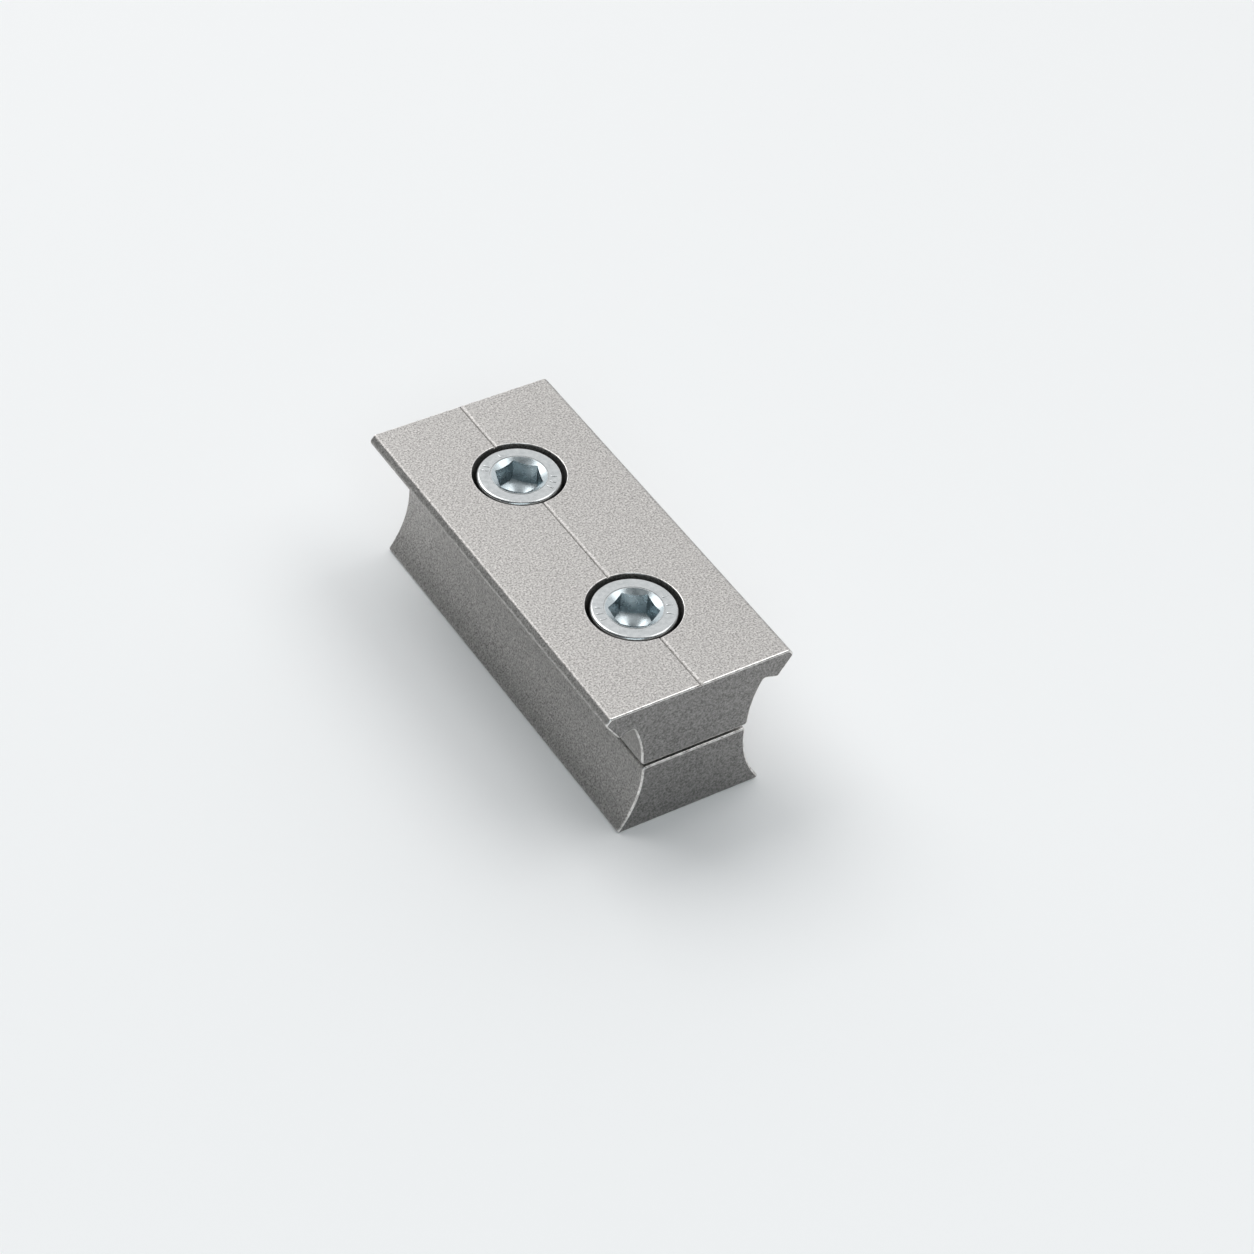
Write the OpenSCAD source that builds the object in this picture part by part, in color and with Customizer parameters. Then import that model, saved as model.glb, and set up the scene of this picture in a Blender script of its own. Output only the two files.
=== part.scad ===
// Parallel connector for aluminium profiles: a two-piece clamp that sits between
// the lips of a slot. An upper jaw with a hooked flange lies on the lips, a lower
// jaw flares out under them, and two socket head cap screws draw the jaws together.
//
// Frame: millimetres, +Z up, +Y along the slot, origin at the centre of the underside.

/* [Jaws] */
// Length of both jaws along the slot
jaw_length = 53; // [45:0.5:80]
// Height of the upper jaw, from its underside to its top face
upper_height = 9.25; // [8.75:0.05:12]
// Height of the lower jaw
lower_height = 9.15; // [8.65:0.05:10.5]
// Gap left between the two jaws when they are clamped in a slot
jaw_gap = 0.5; // [0.2:0.05:0.9]

/* [Flange] */
// Width over the two noses of the flange, its widest points
flange_width = 24; // [23:0.1:30]
// Depth of the noses below the top face
nose_drop = 0.8; // [0.6:0.05:1.2]
// Fall of the bevel between the top face and each nose, in degrees from level
bevel_angle = 50; // [40:1:60]
// Lean of the side below each nose, inwards from upright, in degrees
side_angle = 35; // [20:1:38]
// Depth of the claw tips below the top face
claw_drop = 3.4; // [2.8:0.05:4]
// Rise of the underside of each claw, inwards from its tip, in degrees
claw_angle = 16; // [0:1:25]
// Radius on the noses
nose_radius = 0.2; // [0.1:0.05:0.4]
// Radius on the claw tips
claw_radius = 0.35; // [0.1:0.05:0.5]

/* [Clamping flanks] */
// Radius of the hollow flanks that bear on the slot lips
flank_radius = 13.5; // [12:0.5:25]
// Width of the upper jaw at its waist, where the flanks come closest
upper_waist = 13.8; // [13:0.02:15.5]
// Width of the lower jaw at its waist
lower_waist = 13.36; // [13:0.02:15.5]
// Height of the upper waist above the underside of the upper jaw
upper_waist_rise = 0.15; // [0:0.05:1]
// Depth of the lower waist below the top of the lower jaw
lower_waist_drop = 0.85; // [0:0.05:1.5]
// Radius on the long edges of the upper jaw at the split
upper_split_radius = 0.5; // [0.2:0.05:0.6]
// Radius on the long edges of the lower jaw at the split
lower_split_radius = 0.35; // [0.2:0.05:0.6]
// Radius on the long edges of the foot
foot_radius = 0.3; // [0.1:0.05:0.4]
// Radius of the fillet where each claw meets its flank
neck_fillet = 0.3; // [0.1:0.05:0.6]

/* [Centre line] */
// Width of the marking groove along the top face
groove_width = 0.5; // [0.3:0.05:1]
// Depth of the marking groove
groove_depth = 0.25; // [0.1:0.05:0.5]

/* [Screws] */
// Distance between the two screws
screw_spacing = 25.25; // [20:0.25:30]
// Thread diameter
thread_diameter = 6; // [5:0.5:6]
// Thread pitch
thread_pitch = 1; // [0.8:0.05:1.25]
// Length of the screw under its head
screw_length = 12; // [9:0.5:12]
// Diameter of the head
head_diameter = 10; // [9:0.1:10.5]
// Height of the head
head_height = 6; // [5:0.1:6.2]
// Depth of the head's top below the top face
head_sink = 0.15; // [0:0.05:0.5]
// Radius round the top edge of the head
head_radius = 0.4; // [0.2:0.05:0.9]
// Radius under the head
neck_radius = 0.25; // [0.1:0.05:0.28]
// Width across the flats of the hexagon socket
socket_size = 5; // [4:0.1:5.5]
// Depth of the socket's flats
socket_depth = 3; // [2:0.1:3.5]

/* [Holes] */
// Clearance all round the screw head
head_clearance = 0.5; // [0.2:0.05:0.6]
// Clearance all round the shank in the upper jaw
shank_clearance = 0.3; // [0.3:0.05:0.6]
// Clearance all round the thread in the lower jaw
thread_clearance = 0.05; // [0.02:0.01:0.1]
// Leg of the chamfer at the mouths of the holes
mouth_chamfer = 0.25; // [0.1:0.05:0.4]

/* [Hidden] */

jaw_colour = [0.72, 0.70, 0.68];
screw_colour = [0.78, 0.82, 0.84];

// Heights above the underside of the connector
split_level = lower_height + jaw_gap;
top_level = split_level + upper_height;
upper_waist_level = split_level + upper_waist_rise;
lower_waist_level = lower_height - lower_waist_drop;
head_top_level = top_level - head_sink;
seat_level = head_top_level - head_height;

counterbore_diameter = head_diameter + 2 * head_clearance;
shank_hole_diameter = thread_diameter + 2 * shank_clearance;
thread_hole_diameter = thread_diameter + 2 * thread_clearance;

// Height of the thread's profile, as an ISO thread has it
thread_depth = 0.6134 * thread_pitch;
socket_corner_radius = socket_size / 2 / cos(30);
// The countersunk mouth of the socket reaches past the hexagon's corners by this much
socket_mouth_margin = 0.36;
socket_mouth_radius = socket_corner_radius + socket_mouth_margin;
// Slope of the countersink, in degrees from level
socket_mouth_angle = 30;
// Half the angle of the cone that a punch leaves in the socket's floor, and its share of the floor
socket_floor_angle = 75;
socket_floor_share = 0.96;
// Where each hexagon's corners come to rest when the screws are tight, in degrees from +X
front_corner_angle = 27;
rear_corner_angle = 13;

// Cuts run past the faces they open by this much
overcut = 1;
$fn = 96;

function unit(v) = v / norm(v);

// Half the angle between two directions that leave a corner
function half_angle(a, b) = acos(unit(a) * unit(b)) / 2;

// A rounding meets its sides at a hair's breadth from tangent: its centre is this share
// of the radius away from them
rounding_share = 0.99;

// How far a rounded corner stops short of the sharp one, along the direction d
function rounding_loss(a, b, d, radius) =
    radius * (rounding_share * abs(unit(unit(a) + unit(b)) * d) / sin(half_angle(a, b)) - 1);

// What lies between a sharp corner and the arc that rounds it: taken off an outside
// corner, or added in an inside one. The sides leave the corner in the directions a and b.
module rounding(corner, a, b, radius) {
    half = half_angle(a, b);
    inward = unit(unit(a) + unit(b));
    start = corner + unit(a) * radius / tan(half);
    end = corner + unit(b) * radius / tan(half);
    difference() {
        polygon([start, end, end - 2 * radius * inward, start - 2 * radius * inward]);
        translate(corner + inward * rounding_share * radius / sin(half))
            circle(r = radius, $fn = 48);
    }
}

// The two round hollows that shape the flanks, for a jaw that is waist wide at its narrowest
module flank_hollows(waist, level) {
    for (side = [-1, 1])
        translate([side * (waist / 2 + flank_radius), level])
            circle(r = flank_radius, $fn = 180);
}

// How far out the +X flank lies at a level
function flank_x(waist, waist_level, level) =
    waist / 2 + flank_radius - sqrt(pow(flank_radius, 2) - pow(level - waist_level, 2));

// Direction of the +X flank at a level, upwards
function flank_rise(waist_level, level) =
    unit([level - waist_level, sqrt(pow(flank_radius, 2) - pow(level - waist_level, 2))]);

// What is taken off to round the two edges where the flanks meet a flat face at a level.
// The jaw lies above that face where above is 1, and below it where above is -1.
// The rounding circle lies against the face and against the hollow's own circle.
module edge_roundings(waist, waist_level, level, above, radius) {
    reach = rounding_share * radius;
    hollow = [waist / 2 + flank_radius, waist_level];
    height = level + above * reach;
    middle = [hollow.x - sqrt(pow(flank_radius + reach, 2) - pow(height - hollow.y, 2)), height];
    on_face = [middle.x, level];
    on_flank = hollow + flank_radius * unit(middle - hollow);
    outward = 2 * ([flank_x(waist, waist_level, level), level] - middle);
    for (side = [0, 1])
        mirror([side, 0])
            difference() {
                polygon([on_face, on_flank, on_flank + outward, on_face + outward]);
                translate(middle)
                    circle(r = radius, $fn = 48);
            }
}

// Directions of the flange's faces on the +X side, seen along the slot
up_bevel = [-cos(bevel_angle), sin(bevel_angle)];
down_side = [-sin(side_angle), -cos(side_angle)];
under_claw = [-cos(claw_angle), sin(claw_angle)];

// Sharp corners of the flange, placed so that the rounded ones touch the stated sizes
nose = [
    flange_width / 2 + rounding_loss(up_bevel, down_side, [1, 0], nose_radius),
    top_level - nose_drop,
];
shoulder = nose + up_bevel * nose_drop / up_bevel.y;
claw_level = top_level - claw_drop - rounding_loss(-down_side, under_claw, [0, 1], claw_radius);
claw = nose + down_side * (claw_level - nose.y) / down_side.y;
// The underside of the claw is drawn in as far as the waist of the jaw
claw_root = claw + under_claw * (upper_waist / 2 - claw.x) / under_claw.x;

function across(v) = [-v.x, v.y];

// The flange: flat on top, bevelled to its noses, and hooked down to a claw at each side
module flange_section() {
    difference() {
        polygon([
            shoulder,
            nose,
            claw,
            claw_root,
            across(claw_root),
            across(claw),
            across(nose),
            across(shoulder),
        ]);
        for (side = [0, 1])
            mirror([side, 0]) {
                rounding(nose, up_bevel, down_side, nose_radius);
                rounding(claw, -down_side, under_claw, claw_radius);
            }
        polygon([
            [0, top_level - groove_depth],
            [groove_width, top_level + groove_depth],
            [-groove_width, top_level + groove_depth],
        ]);
    }
}

// The web under the flange, which reaches down between the lips of the slot.
// It runs up inside the flange as far as the level of the noses.
module web_section() {
    difference() {
        translate([-claw.x, split_level])
            square([2 * claw.x, upper_height - nose_drop]);
        flank_hollows(upper_waist, upper_waist_level);
        edge_roundings(upper_waist, upper_waist_level, split_level, 1, upper_split_radius);
    }
}

// The fillets that fill the two inside corners where the claws meet the flanks
module neck_section() {
    // The corner lies where the claw's underside runs into the hollow's circle
    hollow = [upper_waist / 2 + flank_radius, upper_waist_level];
    along = (hollow - claw) * under_claw;
    off_line = claw + along * under_claw - hollow;
    corner = claw + (along + sqrt(pow(flank_radius, 2) - off_line * off_line)) * under_claw;
    for (side = [0, 1])
        mirror([side, 0])
            rounding(corner, -under_claw, -flank_rise(upper_waist_level, corner.y), neck_fillet);
}

// The lower jaw: narrow at the split, and flared down to its foot
module lower_section() {
    foot_x = flank_x(lower_waist, lower_waist_level, 0);
    difference() {
        translate([-foot_x - overcut, 0])
            square([2 * (foot_x + overcut), lower_height]);
        flank_hollows(lower_waist, lower_waist_level);
        edge_roundings(lower_waist, lower_waist_level, lower_height, -1, lower_split_radius);
        edge_roundings(lower_waist, lower_waist_level, 0, 1, foot_radius);
    }
}

// A section is drawn across the slot and drawn out along it
module along_slot() {
    rotate([90, 0, 0])
        linear_extrude(height = jaw_length, center = true)
            children();
}

module at_screws() {
    for (end = [-1, 1])
        translate([0, end * screw_spacing / 2, 0])
            children();
}

// A drilled hole between two heights, with a chamfer at each mouth that is asked for
module hole(diameter, from, to, lower_mouth = false, upper_mouth = false) {
    radius = diameter / 2;
    lower_end = lower_mouth ? from - overcut : from;
    upper_end = upper_mouth ? to + overcut : to;
    translate([0, 0, lower_end])
        cylinder(r = radius, h = upper_end - lower_end);
    if (upper_mouth)
        translate([0, 0, to - mouth_chamfer])
            cylinder(r1 = radius, r2 = radius + mouth_chamfer + overcut, h = mouth_chamfer + overcut);
    if (lower_mouth)
        translate([0, 0, from - overcut])
            cylinder(r1 = radius + mouth_chamfer + overcut, r2 = radius, h = mouth_chamfer + overcut);
}

module upper_jaw() {
    color(jaw_colour)
        difference() {
            union() {
                along_slot() flange_section();
                along_slot() web_section();
                along_slot() neck_section();
            }
            at_screws() {
                hole(counterbore_diameter, seat_level, top_level, upper_mouth = true);
                hole(shank_hole_diameter, split_level, seat_level + overcut, lower_mouth = true);
            }
        }
}

module lower_jaw() {
    color(jaw_colour)
        difference() {
            along_slot() lower_section();
            at_screws()
                hole(thread_hole_diameter, 0, lower_height, lower_mouth = true, upper_mouth = true);
        }
}

// Half of the screw's outline, from the thread's end up to the head, turned about the screw's axis
module screw_blank() {
    shank_radius = thread_diameter / 2;
    tip_level = seat_level - screw_length;
    neck = [shank_radius, seat_level];
    rim = [head_diameter / 2, head_top_level];
    rotate_extrude()
        difference() {
            polygon([
                [0, tip_level],
                [shank_radius - thread_depth, tip_level],
                [shank_radius, tip_level + thread_depth],
                neck,
                [rim.x, seat_level],
                rim,
                [0, rim.y],
            ]);
            rounding(rim, [-1, 0], [0, -1], head_radius);
        }
    rotate_extrude()
        rounding(neck, [1, 0], [0, -1], neck_radius);
}

// The hexagon socket, with a countersunk mouth and a shallow cone in its floor.
// Its corners point at the given angle from +X.
module hexagon_socket(corner_angle) {
    floor_level = head_top_level - socket_depth;
    mouth_drop = (socket_mouth_radius - socket_size / 2) * tan(socket_mouth_angle);
    cone_radius = socket_size / 2 * socket_floor_share;
    rotate([0, 0, corner_angle])
        translate([0, 0, floor_level])
            cylinder(r = socket_corner_radius, h = socket_depth + overcut, $fn = 6);
    translate([0, 0, floor_level - cone_radius / tan(socket_floor_angle)])
        cylinder(r1 = 0, r2 = cone_radius, h = cone_radius / tan(socket_floor_angle));
    translate([0, 0, head_top_level - mouth_drop])
        cylinder(
            r1 = socket_size / 2,
            r2 = socket_mouth_radius + overcut / tan(socket_mouth_angle),
            h = mouth_drop + overcut
        );
}

module cap_screw(end, corner_angle) {
    color(screw_colour)
        translate([0, end * screw_spacing / 2, 0])
            difference() {
                screw_blank();
                hexagon_socket(corner_angle);
            }
}

module front_screw() {
    cap_screw(-1, front_corner_angle);
}

module rear_screw() {
    cap_screw(1, rear_corner_angle);
}

upper_jaw();
lower_jaw();
front_screw();
rear_screw();
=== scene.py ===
# %% [markdown]
# # A parallel connector
# Two short aluminium bars are drawn together by two socket head cap screws and grip
# what lies between their hollow flanks. The upper jaw has a flange with a hook at each
# side, and the lower jaw flares out below. The measured solids are loaded first and fix
# every size and place. The pieces made here take their places, with the rounded edges,
# threads and surface finishes that the plain solids lack.

# %% Load the solids and keep their outer box
from math import acos, atan2, cos, degrees, hypot, pi, radians, sin, sqrt, tan

import bpy
from mathutils import Euler, Matrix, Vector


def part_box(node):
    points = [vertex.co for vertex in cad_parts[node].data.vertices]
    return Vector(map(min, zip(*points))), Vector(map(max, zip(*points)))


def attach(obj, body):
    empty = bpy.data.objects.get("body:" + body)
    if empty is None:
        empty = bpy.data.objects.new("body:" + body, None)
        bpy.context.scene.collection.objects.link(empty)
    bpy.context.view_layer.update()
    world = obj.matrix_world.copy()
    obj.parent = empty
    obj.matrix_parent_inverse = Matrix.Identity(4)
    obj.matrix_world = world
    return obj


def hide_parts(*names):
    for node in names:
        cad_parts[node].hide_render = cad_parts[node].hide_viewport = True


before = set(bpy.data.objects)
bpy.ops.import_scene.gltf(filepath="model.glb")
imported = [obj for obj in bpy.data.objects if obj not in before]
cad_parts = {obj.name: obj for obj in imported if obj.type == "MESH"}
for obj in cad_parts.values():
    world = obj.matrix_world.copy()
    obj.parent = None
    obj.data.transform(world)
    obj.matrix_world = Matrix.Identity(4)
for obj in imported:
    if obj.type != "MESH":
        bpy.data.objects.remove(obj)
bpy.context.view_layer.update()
scene = bpy.context.scene
scene.view_settings.view_transform = "Standard"

# %% [markdown]
# ## Sizes
# All sizes are read off the solids where that is possible, so a piece can't drift away
# from the body that it stands for. The rest are the sizes of standard M6 screws and of
# the jaws' section, in millimetres, brought to metres by one factor.

# %% Sizes shared by several pieces
mm = 0.001


def in_mm(length):
    return round(1000 * length, 2)


upper_low, upper_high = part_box("upper_jaw")
lower_low, lower_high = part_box("lower_jaw")
front_low, front_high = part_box("front_screw")
rear_low, rear_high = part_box("rear_screw")

half_length = upper_high.y
half_width = upper_high.x
top_level = upper_high.z
split_level = upper_low.z
lower_top = lower_high.z
foot_level = 0
screw_places = {
    "front_screw": (front_low.y + front_high.y) / 2,
    "rear_screw": (rear_low.y + rear_high.y) / 2,
}
head_radius = front_high.x
head_height = 6 * mm
head_top = front_high.z
seat_level = head_top - head_height
tip_level = front_low.z
print("length", in_mm(2 * half_length), "width", in_mm(2 * half_width), "height", in_mm(top_level))
print("underside at", in_mm(lower_low.z), "gap between the jaws", in_mm(split_level - lower_top))
print("screws at y =", [in_mm(y) for y in screw_places.values()], "heads at", in_mm(head_top))

# %% [markdown]
# ## The camera
# A product photograph of a small part is taken with a long lens from well above, which
# keeps the long edges nearly parallel. The camera stands about 36 cm away, 43 degrees
# up and 34 degrees round to the left of the near end, and is rolled a little.

# %% Place the camera
camera_data = bpy.data.cameras.new("camera")
camera_data.sensor_width = 36
camera_data.lens = 91.18
camera_data.clip_start = 0.01
camera = bpy.data.objects.new("camera", camera_data)
camera.location = Vector((-148.12, -222.86, 256.52)) * mm
camera.rotation_euler = Euler([radians(a) for a in (46.774, -3.704, -31.555)])
scene.collection.objects.link(camera)
scene.camera = camera
print("camera distance in mm:", in_mm((camera.location - Vector((0, 0, top_level / 2))).length))

# %% [markdown]
# ## Small helpers for modelling
# Operators act on whatever is selected, so each step starts from nothing selected.
# A turned or extruded part is drawn as an outline first. The outline is a circle
# primitive whose points are moved onto the corners of the section, which is the
# quickest way to a closed loop with a known order of points.

# %% Selecting, editing and applying
def only(obj):
    for other in bpy.context.selected_objects:
        other.select_set(False)
    obj.select_set(True)
    bpy.context.view_layer.objects.active = obj


def edit(obj, mode="VERT"):
    only(obj)
    bpy.ops.object.mode_set(mode="EDIT")
    bpy.ops.mesh.select_mode(type=mode)
    bpy.ops.mesh.select_all(action="DESELECT")


def done():
    bpy.ops.object.mode_set(mode="OBJECT")


def apply_modifier(obj, kind, **settings):
    only(obj)
    modifier = obj.modifiers.new(kind.lower(), kind)
    for key, value in settings.items():
        setattr(modifier, key, value)
    bpy.ops.object.modifier_apply(modifier=modifier.name)


def cut(obj, cutter, operation="DIFFERENCE"):
    apply_modifier(obj, "BOOLEAN", object=cutter, operation=operation, solver="EXACT")
    bpy.data.objects.remove(cutter)


def join(obj, other):
    only(other)
    obj.select_set(True)
    bpy.context.view_layer.objects.active = obj
    bpy.ops.object.join()


# %% Drawing an outline
def outline(name, points, closed=True):
    """A loop or a chain of edges in the XZ plane, through points given in metres."""
    bpy.ops.object.select_all(action="DESELECT")
    bpy.ops.mesh.primitive_circle_add(vertices=len(points), fill_type="NOTHING")
    obj = bpy.context.object
    obj.name = obj.data.name = name
    for vertex, (x, z) in zip(obj.data.vertices, points):
        vertex.co = (x, 0, z)
    if not closed:
        edit(obj, "EDGE")
        done()
        ends = {0, len(points) - 1}
        for edge in obj.data.edges:
            edge.select = set(edge.vertices) == ends
        bpy.ops.object.mode_set(mode="EDIT")
        bpy.ops.mesh.delete(type="EDGE")
        done()
    return obj


def arc(centre, radius, start, end, steps):
    """Points of an arc from start to end, in degrees from +X towards +Z."""
    return [
        (centre[0] + radius * cos(radians(start + (end - start) * i / steps)),
         centre[1] + radius * sin(radians(start + (end - start) * i / steps)))
        for i in range(steps + 1)
    ]


def rounded(corners, steps=5):
    """The points of an outline whose corners are (x, z, radius)."""
    points = []
    for i, (x, z, radius) in enumerate(corners):
        if not radius:
            points.append((x, z))
            continue
        corner = Vector((x, z))
        before = (Vector(corners[i - 1][:2]) - corner).normalized()
        after = (Vector(corners[(i + 1) % len(corners)][:2]) - corner).normalized()
        half = before.angle(after) / 2
        centre = corner + (before + after).normalized() * radius / sin(half)
        start = corner + before * radius / tan(half) - centre
        end = corner + after * radius / tan(half) - centre
        first = atan2(start.y, start.x)
        turn = (atan2(end.y, end.x) - first + pi) % (2 * pi) - pi
        for k in range(steps + 1):
            angle = first + turn * k / steps
            points.append(tuple(centre + Vector((cos(angle), sin(angle))) * radius))
    return points


square = [(0, 0, 0.1), (1, 0, 0.1), (1, 1, 0.1), (0, 1, 0.1)]
print("a rounded square has", len(rounded(square)), "points")


# %% Turning an outline about an upright axis
circle_steps = 96
merge_gap = 0.001 * mm


def turned(name, points, y, steps=circle_steps, ring=False):
    """A body turned from half an outline about the upright line at y, or a ring from a whole one."""
    blank = outline(name, points, closed=ring)
    edit(blank)
    bpy.ops.mesh.select_all(action="SELECT")
    bpy.ops.transform.translate(value=(0, y, 0))
    bpy.ops.mesh.spin(steps=steps, angle=2 * pi, center=(0, y, 0), axis=(0, 0, 1))
    bpy.ops.mesh.select_all(action="SELECT")
    bpy.ops.mesh.remove_doubles(threshold=merge_gap)
    bpy.ops.mesh.normals_make_consistent(inside=False)
    done()
    return blank


# %% [markdown]
# ## Turning a section into a bar
# The jaws are sawn from an extruded bar, so each has the same section all along.
# The outline is filled and pulled along Y. Tumbling rounds and polishes the edges that
# the saw left sharp, which a bevel does here. The holes are then drilled with turned
# cutters that round their own mouths. A bar has three material slots: one for its faces,
# one for the edges that have been rubbed bright, whose colour is partly a painted
# highlight, and one for the sawn ends, whose darker grey is painted shade.

# %% Extruding and drilling
faces_slot, edges_slot, ends_slot = 0, 1, 2
mouth_round = 0.1 * mm
overshoot = 1 * mm


def extruded(name, points, half):
    bar = outline(name, points)
    edit(bar)
    bpy.ops.mesh.select_all(action="SELECT")
    bpy.ops.transform.translate(value=(0, -half, 0))
    bpy.ops.mesh.edge_face_add()
    bpy.ops.mesh.extrude_region_move(TRANSFORM_OT_translate={"value": (0, 2 * half, 0)})
    bpy.ops.mesh.select_all(action="SELECT")
    bpy.ops.mesh.normals_make_consistent(inside=False)
    done()
    for slot in (faces_slot, edges_slot, ends_slot):
        bar.data.materials.append(None)
    return bar


def drill(bar, radius, low, high, y, lower_mouth=False, upper_mouth=False):
    """A hole from low to high, with a rounded mouth where it comes out of a face."""
    wide = radius + mouth_round
    start, lower = low, [(radius, low)]
    end, upper = high, [(radius, high)]
    if lower_mouth:
        start = low - overshoot
        lower = [(wide, start)] + arc((wide, low + mouth_round), mouth_round, 270, 180, 3)
    if upper_mouth:
        end = high + overshoot
        upper = arc((wide, high - mouth_round), mouth_round, 180, 90, 3) + [(wide, end)]
    drill_bit = turned("drill_bit", [(0, start)] + lower + upper + [(0, end)], y)
    # The rounded mouth takes the bright edge slot, whose colour is partly burnish and partly a painted
    # highlight.
    for slot in (faces_slot, edges_slot):
        drill_bit.data.materials.append(None)
    for face in drill_bit.data.polygons:
        slanted = 0.2 < abs(face.normal.z) < 0.98
        face.material_index = edges_slot if slanted else faces_slot
    cut(bar, drill_bit)


# %% Rounding the sawn edges, and shading (angles in degrees)
edge_round = 0.21 * mm
sawn_corner = 60
jaw_crease = 40
screw_crease = 25


def round_ends(bar):
    """Rounds the edges of the sawn ends, and marks the ends."""
    # The rounded edges take the bright slot, whose colour is partly burnish and partly a painted highlight.
    apply_modifier(bar, "BEVEL", width=edge_round, segments=3, limit_method="ANGLE",
                   angle_limit=radians(sawn_corner), material=edges_slot, use_clamp_overlap=False)
    # The ends take the slot whose darker grey is painted shade.
    for face in bar.data.polygons:
        if abs(face.normal.y) > 0.99:
            face.material_index = ends_slot
    bright = [face for face in bar.data.polygons if face.material_index == edges_slot]
    print(bar.name, "has", len(bright), "bright faces")


def shade(piece, angle):
    """Smooth shading, with a crease wherever faces meet at more than the angle in degrees."""
    only(piece)
    bpy.ops.object.shade_smooth_by_angle(angle=radians(angle))
    apply_modifier(piece, "WEIGHTED_NORMAL", keep_sharp=True)
    print(piece.name, "has", len(piece.data.polygons), "faces")


# %% [markdown]
# ## The upper jaw
# On the real part this is the piece that shows: a flat top with bevelled sides, a hook
# under each side, and a web with hollow flanks that reaches down to the split. One half
# of the section is drawn, in order from the top down, and mirrored. A nose, a shoulder
# and a claw are given as the sharp corners that their roundings start from, so the nose's
# corner lies a little outside the width that it ends up with. The flank's own arc runs
# between the roundings at its two ends.

# %% Hollow flanks
flank_radius = 13.5 * mm
upper_waist, upper_waist_level = 6.9 * mm, split_level + 0.15 * mm


def flank_x(waist, waist_level, level):
    return waist + flank_radius - sqrt(flank_radius ** 2 - (level - waist_level) ** 2)


def flank(waist, waist_level, start, end, steps):
    levels = [start + (end - start) * i / steps for i in range(steps + 1)]
    return [(flank_x(waist, waist_level, level), level) for level in levels]


def mirrored(points):
    return [(-x, z) for x, z in reversed(points)]


print("width at the split in mm:", in_mm(2 * flank_x(upper_waist, upper_waist_level, split_level)))

# %% Section of the upper jaw
nose_depth = 0.8 * mm
nose_corner_out = 0.13 * mm
claw_depth = 3.47 * mm
hook_inside = 8.3 * mm
bevel_angle, claw_angle, hook_angle = radians(50), radians(35), radians(16)
shoulder_round, nose_round = 0.45 * mm, 0.5 * mm
claw_round, root_round, web_round = 0.35 * mm, 0.3 * mm, 0.5 * mm

nose = (half_width + nose_corner_out, top_level - nose_depth)
shoulder = (nose[0] - nose_depth / tan(bevel_angle), top_level)
claw_level = top_level - claw_depth
claw = (nose[0] - (nose[1] - claw_level) * tan(claw_angle), claw_level)
root_level = claw_level + (claw[0] - hook_inside) * tan(hook_angle)
root = (flank_x(upper_waist, upper_waist_level, root_level), root_level)
below_root = (root[0] - 0.5 * mm, root_level - 1.2 * mm)
flange_side = rounded([(0, top_level, 0), (*shoulder, shoulder_round), (*nose, nose_round),
                       (*claw, claw_round), (*root, root_round), (*below_root, 0)])[1:-1]
web_side = flank(upper_waist, upper_waist_level, root_level - 0.45 * mm, split_level + 0.55 * mm, 14)
web_corner = (flank_x(upper_waist, upper_waist_level, split_level), split_level)
web_foot = rounded([(*web_side[-1], 0), (*web_corner, web_round), (0, split_level, 0)])[1:-1]
half_upper = flange_side + web_side + web_foot
print("points in half the section:", len(half_upper))

# %% [markdown]
# A fine groove marks the centre line. It is steep on its left and slopes gently on its
# right, where it catches the light. It is cut last, after the ends are rounded and the
# holes are drilled, so its own edges stay crisp. The cutter is divided a little short of
# every end and hole. That leaves plain rectangles along the groove, so what happens at
# a rounded mouth can't change the smooth shading of the whole strip.

# %% Upper jaw
counterbore_radius = 5.5 * mm
clearance_radius = 3.3 * mm
strip_end = 0.4 * mm
groove_points = [(-0.25, 0.1), (-0.22, -0.25), (-0.08, -0.25), (0.0, -0.13), (0.16, -0.07),
                 (0.46, 0.04), (0.46, 0.1)]
groove_section = [(x * mm, top_level + z * mm) for x, z in groove_points]

upper_jaw = extruded("upper_jaw_bar", half_upper + mirrored(half_upper), half_length)
round_ends(upper_jaw)
for y in screw_places.values():
    drill(upper_jaw, counterbore_radius, seat_level, top_level, y, upper_mouth=True)
    drill(upper_jaw, clearance_radius, split_level, seat_level + overshoot, y, lower_mouth=True)
groove = extruded("groove", groove_section, half_length + overshoot)
stretches = [(0, half_length - strip_end)]
stretches += [(y, counterbore_radius + strip_end) for y in screw_places.values()]
edit(groove)
for place, reach in stretches:
    for division in (place - reach, place + reach):
        bpy.ops.mesh.select_all(action="SELECT")
        bpy.ops.mesh.bisect(plane_co=(0, division, 0), plane_no=(0, 1, 0))
done()
cut(upper_jaw, groove)
shade(upper_jaw, jaw_crease)

# %% [markdown]
# ## The lower jaw
# The lower jaw has the same hollow flanks turned the other way up: narrow near the split
# and wide at its foot. Its two holes are tapped on the real part. Here they are plain,
# and the screws' threads fill them.

# %% Lower jaw
lower_waist, lower_waist_level = 6.68 * mm, lower_top - 0.85 * mm
tapped_radius = 3.05 * mm
lower_top_round, foot_round = 0.35 * mm, 0.3 * mm

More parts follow.
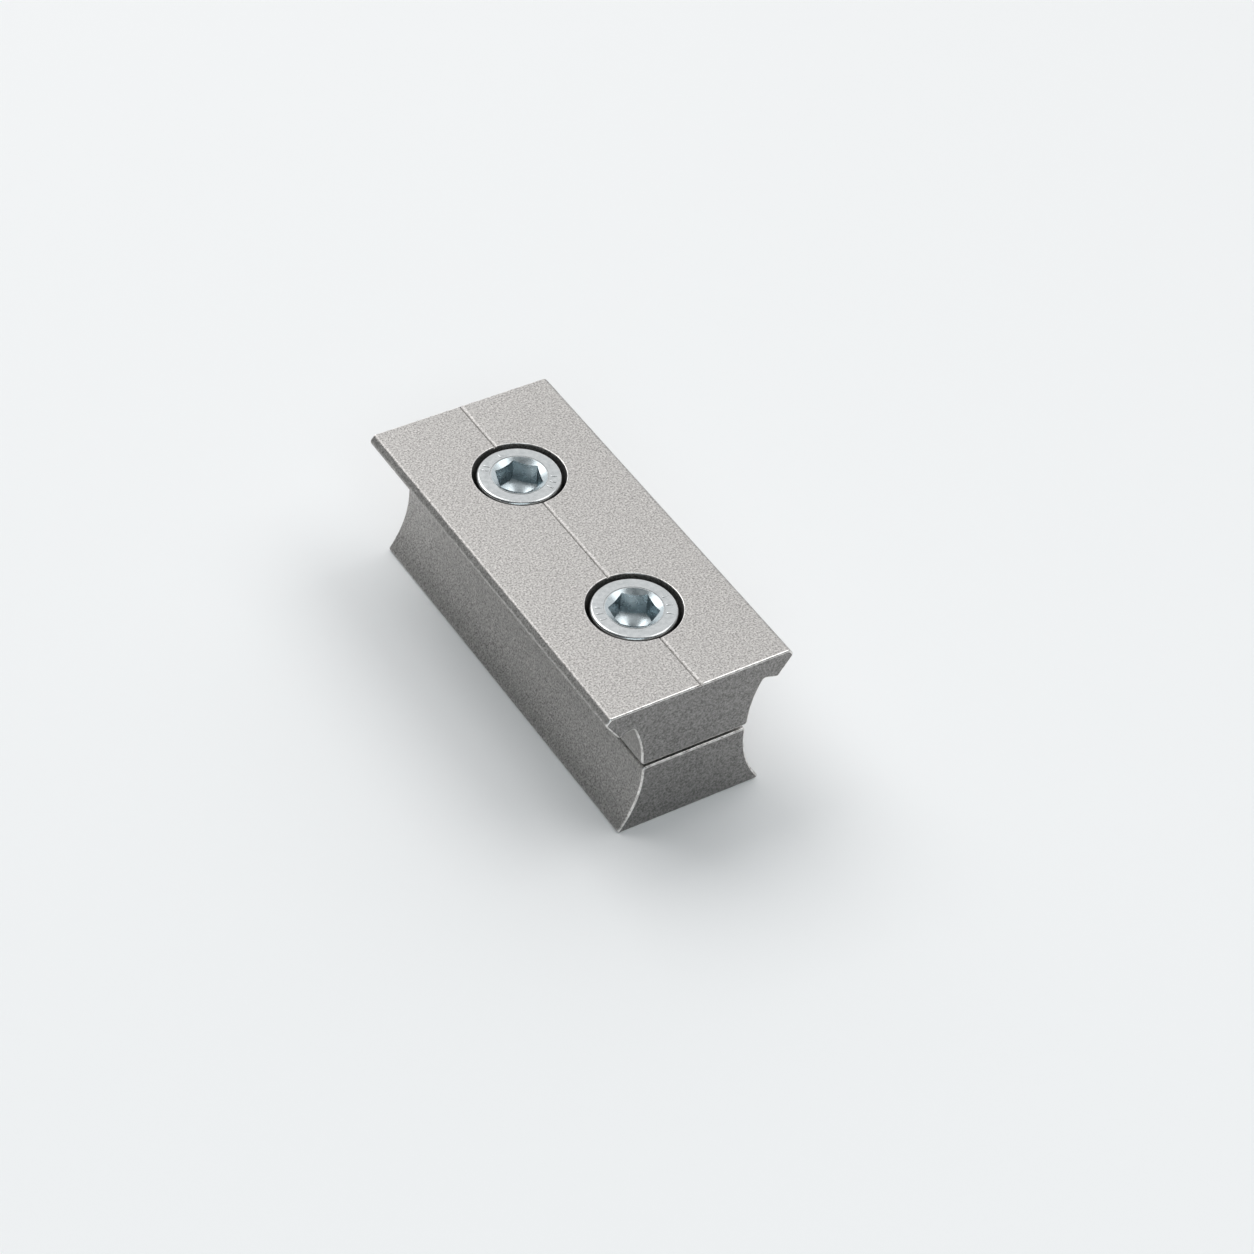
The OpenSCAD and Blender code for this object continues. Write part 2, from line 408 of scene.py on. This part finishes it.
foot_x = flank_x(lower_waist, lower_waist_level, foot_level)
top_x = flank_x(lower_waist, lower_waist_level, lower_top)
lower_side = flank(lower_waist, lower_waist_level, lower_top - 0.4 * mm, 0.5 * mm, 18)
top_corner = rounded([(0, lower_top, 0), (top_x, lower_top, lower_top_round),
                      (*lower_side[0], 0)])[1:-1]
foot_corner = rounded([(*lower_side[-1], 0), (foot_x, foot_level, foot_round),
                       (0, foot_level, 0)])[1:-1]
half_lower = top_corner + lower_side + foot_corner
lower_jaw = extruded("lower_jaw_bar", half_lower + mirrored(half_lower), half_length)
round_ends(lower_jaw)
for y in screw_places.values():
    drill(lower_jaw, tapped_radius, foot_level, lower_top, y, lower_mouth=True, upper_mouth=True)
shade(lower_jaw, jaw_crease)
print("foot width in mm:", in_mm(2 * foot_x))

# %% [markdown]
# ## The screws
# A cap screw is forged and its thread is rolled. The thread is one pitch of the V
# profile carried up a helix by the Screw modifier and cut level at both ends. The
# profile has a flat of a quarter of the pitch at its root and one of an eighth at its
# crest, as the standard has it. Near the tip the thread's points are drawn in to a
# cone of 45 degrees, which is the chamfer that helps it to start.

# %% Thread
pitch = 1 * mm
shank_radius = 3 * mm
thread_depth = 0.6134 * pitch
thread_top = seat_level - 0.6 * mm
thread_steps = 48


def thread(name, y):
    root_radius = shank_radius - thread_depth
    tip_radius = root_radius - 0.05 * mm
    turns = int((seat_level - tip_level) / pitch) + 2
    start = tip_level - 1.5 * pitch
    profile = [(root_radius, start), (root_radius, start + 0.25 * pitch),
               (shank_radius, start + 0.5625 * pitch), (shank_radius, start + 0.6875 * pitch),
               (root_radius, start + pitch)]
    helix = outline(name, profile, closed=False)
    apply_modifier(helix, "SCREW", angle=2 * pi, screw_offset=pitch, iterations=turns, axis="Z",
                   steps=thread_steps, render_steps=thread_steps,
                   use_merge_vertices=True, merge_threshold=2 * merge_gap)
    edit(helix)
    bpy.ops.mesh.select_all(action="SELECT")
    bpy.ops.mesh.remove_doubles(threshold=2 * merge_gap)
    for level, keep_above in ((tip_level, True), (thread_top, False)):
        bpy.ops.mesh.select_all(action="SELECT")
        bpy.ops.mesh.bisect(plane_co=(0, 0, level), plane_no=(0, 0, 1), use_fill=True,
                            clear_inner=keep_above, clear_outer=not keep_above)
    bpy.ops.mesh.select_all(action="SELECT")
    bpy.ops.mesh.normals_make_consistent(inside=False)
    done()
    for vertex in helix.data.vertices:
        reach = hypot(vertex.co.x, vertex.co.y)
        limit = tip_radius + (vertex.co.z - tip_level)
        if reach > limit:
            vertex.co.x, vertex.co.y = vertex.co.x * limit / reach, vertex.co.y * limit / reach
        vertex.co.y += y
    print(name, "has", len(helix.data.polygons), "faces over", turns, "turns")
    return helix


# %% [markdown]
# The head and neck are turned from half an outline with Spin. Every second column of
# points on the head's side is then drawn in a little, which gives the straight knurl.

# %% Head and neck
knurl_columns = 72
knurl_scale = 0.975
head_rim = 0.4 * mm
neck = 2.7 * mm


def head_blank(name, y):
    """The knurled head on its neck, at the screw's place along the jaws."""
    side = head_radius - 0.02 * mm
    profile = [(0, seat_level - 0.9 * mm), (neck, seat_level - 0.9 * mm),
               (neck, seat_level - 0.25 * mm), (neck + 0.07 * mm, seat_level - 0.08 * mm),
               (neck + 0.25 * mm, seat_level), (head_radius - 0.2 * mm, seat_level),
               (side, seat_level + 0.18 * mm), (side, seat_level + 0.45 * mm),
               (head_radius, seat_level + 0.6 * mm), (head_radius, head_top - 1.0 * mm),
               (side, head_top - 0.85 * mm)]
    profile += arc((head_radius - head_rim, head_top - head_rim), head_rim, 0, 90, 6)
    profile += [(0, head_top)]
    screw = turned(name, profile, y, 2 * knurl_columns)
    edit(screw)
    done()
    for vertex in screw.data.vertices:
        x, across, z = vertex.co.x, vertex.co.y - y, vertex.co.z
        column = round(degrees(atan2(across, x)) % 360 / (180 / knurl_columns))
        outside = hypot(x, across) > head_radius - 0.1 * mm
        on_side = seat_level + 0.5 * mm < z < head_top - 0.9 * mm
        vertex.select = outside and on_side and column % 2 == 1
    bpy.ops.object.mode_set(mode="EDIT")
    bpy.ops.transform.resize(value=(knurl_scale, knurl_scale, 1), center_override=(0, y, 0))
    done()
    return screw


# %% [markdown]
# The socket is pressed into the blank by a hexagonal punch, which leaves a shallow
# cone at the bottom and a fine ring round the mouth. The mouth is countersunk to lead
# the key in. So a hexagonal prism is ended by a turned cone, and the prism, the lead-in
# and the ring are cut out of the head one after the other.

# %% Socket
half_flats = 2.52 * mm
socket_depth = 3 * mm
punch_length = 6 * mm
punch_round = 0.06 * mm
mouth_radius = 3.25 * mm
mouth_rise = tan(radians(30))
lead_depth, lead_over = 1.2 * mm, 0.3 * mm
socket_cone = [(0, -1.4), (0.15, -1.32), (1.1, -0.655), (2.9, 0), (3.3, 0.02)]
rim_ring = [(0.04, 0.05), (0.06, -0.05), (0.14, -0.05), (0.2, 0.05)]


def punch_socket(screw, y, corner_angle):
    """Cuts the socket, with one corner of the hexagon at an angle in degrees."""
    floor_level = head_top - socket_depth
    bpy.ops.object.select_all(action="DESELECT")
    bpy.ops.mesh.primitive_cylinder_add(vertices=6, radius=half_flats / cos(radians(30)),
                                        depth=punch_length,
                                        location=(0, y, floor_level + overshoot),
                                        rotation=(0, 0, radians(corner_angle - 90)))
    punch = bpy.context.object
    bpy.ops.object.transform_apply(location=True, rotation=True, scale=True)
    apply_modifier(punch, "BEVEL", width=punch_round, segments=2, limit_method="ANGLE",
                   angle_limit=radians(40))
    punch_end = [(r * mm, floor_level + z * mm) for r, z in socket_cone]
    punch_top = head_top + 0.6 * mm
    punch_end += [(punch_end[-1][0], punch_top), (0, punch_top)]
    cut(punch, turned("punch_end", punch_end, y), "INTERSECT")
    cut(screw, punch)

    lead_low, lead_high = head_top - lead_depth, head_top + lead_over * mouth_rise
    lead_in = [(0, lead_low), (mouth_radius - lead_depth / mouth_rise, lead_low),
               (mouth_radius, head_top), (mouth_radius + lead_over, lead_high), (0, lead_high)]
    cut(screw, turned("lead_in", lead_in, y))
    ring = [(mouth_radius + r * mm, head_top + z * mm) for r, z in rim_ring]
    cut(screw, turned("punch_rim", ring, y, ring=True))
    print(screw.name, "with its socket has", len(screw.data.polygons), "faces")


# %% [markdown]
# The marks that makers raise on the head are kept to a few plain ticks. The upper end
# of the thread lies inside the neck, so the two are simply joined.

# %% Ticks and the whole screw
tick_radius = 4.0 * mm
tick_size = (0.8 * mm, 0.2 * mm, 0.12 * mm)
tick_round = 0.05 * mm


def raise_tick(screw, y, angle):
    bpy.ops.object.select_all(action="DESELECT")
    bpy.ops.mesh.primitive_cube_add(size=1, location=(tick_radius, 0, head_top))
    tick = bpy.context.object
    tick.scale = tick_size
    bpy.ops.object.transform_apply(location=True, rotation=True, scale=True)
    apply_modifier(tick, "BEVEL", width=tick_round, segments=2)
    tick.rotation_euler = (0, 0, radians(angle))
    tick.location = (0, y, 0)
    bpy.ops.object.transform_apply(location=True, rotation=True, scale=True)
    join(screw, tick)


def cap_screw(name, y, corner_angle, tick_angles):
    screw = head_blank(name, y)
    punch_socket(screw, y, corner_angle)
    join(screw, thread(name + "_thread", y))
    for angle in tick_angles:
        raise_tick(screw, y, angle)
    shade(screw, screw_crease)
    return screw


front_screw = cap_screw("front_screw_piece", screw_places["front_screw"], 27, (152, 166, 180, 0, -20, -40))
rear_screw = cap_screw("rear_screw_piece", screw_places["rear_screw"], 13, (95, 130, 141, -30, -44, -58))

# %% [markdown]
# ## Finishes
# Colours are written as the hex values that a picture shows, and one function turns
# them to the linear values that a shader works with. One more function adds a node
# with its settings and its links.

# %% Helpers for materials
def colour(hex_value, alpha=1):
    channels = [int(hex_value[i:i + 2], 16) / 255 for i in (1, 3, 5)]
    return (*[c / 12.92 if c <= 0.04045 else ((c + 0.055) / 1.055) ** 2.4 for c in channels], alpha)


def add(tree, kind, inputs=(), **settings):
    node = tree.nodes.new(kind)
    for key, value in settings.items():
        setattr(node, key, value)
    for key, value in dict(inputs).items():
        if isinstance(value, bpy.types.NodeSocket):
            tree.links.new(value, node.inputs[key])
        else:
            node.inputs[key].default_value = value
    return node


def new_material(name):
    material = bpy.data.materials.new(name)
    material.use_nodes = True
    material.node_tree.nodes.clear()
    return material, material.node_tree


# %% [markdown]
# ### Blasted aluminium
# The jaws are of extruded aluminium, EN AW-6060, sawn, drilled and then finished with
# fine media. That leaves a dull, very even, slightly warm grey, speckled with pits and
# tiny bright facets about 0.1 mm across. In a picture of the whole part that is finer
# than a pixel, so the speckle is drawn at 0.22 mm, with finer grains inside it. The sawn
# ends are painted a darker grey of the same grain, which is painted shade. The edges are
# rubbed hardest: they are smoother, and brighter, which is partly their burnish and partly
# a painted highlight, and a coarser pattern breaks up the line that they draw.

# %% Blasted aluminium
grain_size, grain_depth = 0.22 * mm, 0.018 * mm
rub_size, rub_depth = 0.7 * mm, 0.02 * mm


def speckled_metal(name, dark, light, roughness, grain, depth):
    """A metal that varies from dark to light over a grain of the given size."""
    material, tree = new_material(name)
    where = add(tree, "ShaderNodeTexCoord").outputs["Object"]
    speckle = add(tree, "ShaderNodeTexNoise",
                  {"Vector": where, "Scale": 1 / grain, "Detail": 4, "Roughness": 0.75}).outputs["Fac"]
    tone = add(tree, "ShaderNodeMapRange", {"Value": speckle, "From Min": 0.34, "From Max": 0.66})
    mix = add(tree, "ShaderNodeMix",
                {"Factor": tone.outputs[0], "A": colour(dark), "B": colour(light)}, data_type="RGBA")
    rough = add(tree, "ShaderNodeMapRange",
                {"Value": speckle, "From Min": 0.25, "From Max": 0.75,
                 "To Min": roughness - 0.08, "To Max": roughness + 0.08})
    bump = add(tree, "ShaderNodeBump", {"Height": speckle, "Strength": 1.0, "Distance": depth})
    shader = add(tree, "ShaderNodeBsdfPrincipled",
                 {"Base Color": mix.outputs["Result"], "Metallic": 1.0,
                  "Roughness": rough.outputs[0], "Normal": bump.outputs[0]})
    add(tree, "ShaderNodeOutputMaterial", {"Surface": shader.outputs[0]})
    return material


jaw_faces = speckled_metal("blasted_aluminium", "#757371", "#D2CFCC", 0.5, grain_size, grain_depth)
# The sawn ends' darker grey is painted shade.
jaw_ends_painted_shade = speckled_metal("sawn_end_painted_shade", "#5B5A59", "#AEACAA", 0.45, grain_size, grain_depth)
# The edges' brighter colour is partly their burnish and partly a painted highlight.
jaw_edges_burnish_and_painted_highlight = speckled_metal("burnished_edge_and_painted_highlight", "#B9B6B3", "#FFFDFA", 0.3, rub_size, rub_depth)
print("materials:", jaw_faces.name, jaw_ends_painted_shade.name, jaw_edges_burnish_and_painted_highlight.name)

# %% [markdown]
# ### Zinc-plated steel
# The screws are of alloy steel with a bright zinc plate, which is clear and a little
# blue. It is smoother than the jaws, so it shows broad, clean highlights with only a
# faint mottle, about 0.6 mm across, where the plate has grown unevenly. Inside the
# socket the plate is duller, because the punch leaves a rougher wall, so the light there
# is softer. Its colour there is painted bluer and a little lighter, which is a painted
# cool reflection on the walls.

# %% Zinc-plated steel
mottle_size, mottle_depth = 0.6 * mm, 0.003 * mm


def zinc_plate(name, dark, light, roughness):
    """A clear plate on steel, with a faint mottle between two close tones."""
    material, tree = new_material(name)
    where = add(tree, "ShaderNodeTexCoord").outputs["Object"]
    mottle = add(tree, "ShaderNodeTexNoise",
                 {"Vector": where, "Scale": 1 / mottle_size, "Detail": 3, "Roughness": 0.6}).outputs["Fac"]
    mix = add(tree, "ShaderNodeMix",
                {"Factor": mottle, "A": colour(dark), "B": colour(light)}, data_type="RGBA")
    rough = add(tree, "ShaderNodeMapRange",
                {"Value": mottle, "From Min": 0.3, "From Max": 0.7,
                 "To Min": roughness - 0.04, "To Max": roughness + 0.04})
    bump = add(tree, "ShaderNodeBump", {"Height": mottle, "Strength": 1.0, "Distance": mottle_depth})
    shader = add(tree, "ShaderNodeBsdfPrincipled",
                 {"Base Color": mix.outputs["Result"], "Metallic": 1.0,
                  "Roughness": rough.outputs[0], "Normal": bump.outputs[0]})
    add(tree, "ShaderNodeOutputMaterial", {"Surface": shader.outputs[0]})
    return material


screw_plate = zinc_plate("bright_zinc_plate", "#A8ABAC", "#CDCFCF", 0.21)
# Inside the socket the bluer, lighter tint is a painted cool reflection.
socket_plate_painted_reflection = zinc_plate("punched_zinc_painted_cool_reflection", "#A9B3B7", "#CBD3D6", 0.28)
print("materials:", screw_plate.name, socket_plate_painted_reflection.name)

# %% [markdown]
# ### Putting the finishes on
# The bars already know which of their faces are edges and ends, so their three slots
# are filled. A screw gets two slots, and its faces inside the socket take the second.

# %% Assign the materials
for bar in (upper_jaw, lower_jaw):
    bar.data.materials[faces_slot] = jaw_faces
    bar.data.materials[edges_slot] = jaw_edges_burnish_and_painted_highlight
    bar.data.materials[ends_slot] = jaw_ends_painted_shade
for screw, y in zip((front_screw, rear_screw), screw_places.values()):
    screw.data.materials.clear()
    screw.data.materials.append(screw_plate)
    screw.data.materials.append(socket_plate_painted_reflection)
    # Faces inside the socket take the slot whose bluer tint is a painted cool reflection.
    for face in screw.data.polygons:
        x, across, z = face.center.x, face.center.y - y, face.center.z
        inside = hypot(x, across) < mouth_radius - 0.01 * mm
        face.material_index = int(inside and seat_level + 1 * mm < z < head_top - 0.01 * mm)
    print(screw.name, "has", len([f for f in screw.data.polygons if f.material_index]), "faces in its socket")

# %% [markdown]
# ## Bodies
# Each piece stands for one solid and moves with its body: the screws turn, and the
# lower jaw travels down as they are loosened.

# %% Put the pieces on their bodies
for piece, node, slot in ((upper_jaw, "upper_jaw", "jaw_aluminium"),
                          (lower_jaw, "lower_jaw", "jaw_aluminium"),
                          (front_screw, "front_screw", "screw_steel"),
                          (rear_screw, "rear_screw", "screw_steel")):
    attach(piece, node)
    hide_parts(node)
    print(piece.name, "rides on", node)

# %% [markdown]
# ## Floor and sky
# The floor is a plain, nearly white sheet. A metal shows what it reflects more than its
# own colour, so the surroundings come before the lamps: a pale sky that is bright high
# behind on the right, where the top face mirrors it to the camera, and a dim neutral
# grey elsewhere, which leaves the near end dark. The change from dim to bright follows
# the cosine of the angle from the bright side, from about 65 degrees down to 32.

# %% Floor
bpy.ops.object.select_all(action="DESELECT")
bpy.ops.mesh.primitive_plane_add(size=4, location=(0, 0, -0.01 * mm))
floor = bpy.context.object
floor.name = "floor"
floor_material, tree = new_material("pale_floor")
shader = add(tree, "ShaderNodeBsdfPrincipled", {"Base Color": colour("#F2F2F2"), "Roughness": 0.9})
add(tree, "ShaderNodeOutputMaterial", {"Surface": shader.outputs[0]})
floor.data.materials.append(floor_material)
print("floor at", in_mm(floor.location.z))

# %% Sky
bright_side = Vector((0.42, 0.62, 0.66)).normalized()
dim_from, bright_from = 0.42, 0.85
world = bpy.data.worlds.new("studio")
scene.world = world
world.use_nodes = True
tree = world.node_tree
tree.nodes.clear()
look = add(tree, "ShaderNodeTexCoord").outputs["Generated"]
towards = add(tree, "ShaderNodeVectorMath", {0: look, 1: bright_side}, operation="DOT_PRODUCT")
level = add(tree, "ShaderNodeMapRange",
            {"Value": towards.outputs["Value"], "From Min": dim_from, "From Max": bright_from},
            interpolation_type="SMOOTHSTEP")
sky = add(tree, "ShaderNodeMix",
          {"Factor": level.outputs[0], "A": colour("#505455"), "B": colour("#F9FAFB")}, data_type="RGBA")
background = add(tree, "ShaderNodeBackground", {"Color": sky.outputs["Result"], "Strength": 1.15})
add(tree, "ShaderNodeOutputWorld", {"Surface": background.outputs[0]})
print("sky dim and bright at", [round(degrees(acos(c))) for c in (dim_from, bright_from)], "degrees")

# %% [markdown]
# ### Lamps
# A soft key lamp from behind lights the top face and throws the shadow forwards. A broad
# softbox high on the right draws the bright lines along the burnished edges and lights
# the left of the sockets' floors and mouths. A small, cool fill from the camera's side
# gives the walls of the sockets their blue-grey. What counts in a metal is how bright a
# lamp looks, so each is given by its radiance, and its power follows from its area.

# %% Softboxes
lamp_distance = 1.0


def softbox(name, direction, size, radiance, tint="#FFFFFF"):
    """A rectangular lamp that looks at the part, of the given radiance."""
    data = bpy.data.lights.new(name, "AREA")
    data.shape = "RECTANGLE"
    data.size, data.size_y = size
    data.energy = radiance * pi * size[0] * size[1]
    data.color = colour(tint)[:3]
    lamp = bpy.data.objects.new(name, data)
    back = Vector(direction).normalized()
    across = (Vector((1, 0, 0)) - back * back.x).normalized()
    facing = Matrix((across, back.cross(across), back)).transposed()
    lamp.matrix_world = Matrix.LocRotScale(back * lamp_distance, facing, None)
    scene.collection.objects.link(lamp)
    print(name, "power in W:", round(data.energy, 2))


softbox("key_light", (-0.15, 0.6, 0.785), (0.65, 0.65), 2.7)
softbox("edge_light", (0.5, -0.2, 0.84), (0.5, 0.7), 1.9)
softbox("fill_light", (-0.35, -0.67, 0.655), (0.6, 0.36), 2.6, "#E2F0F6")
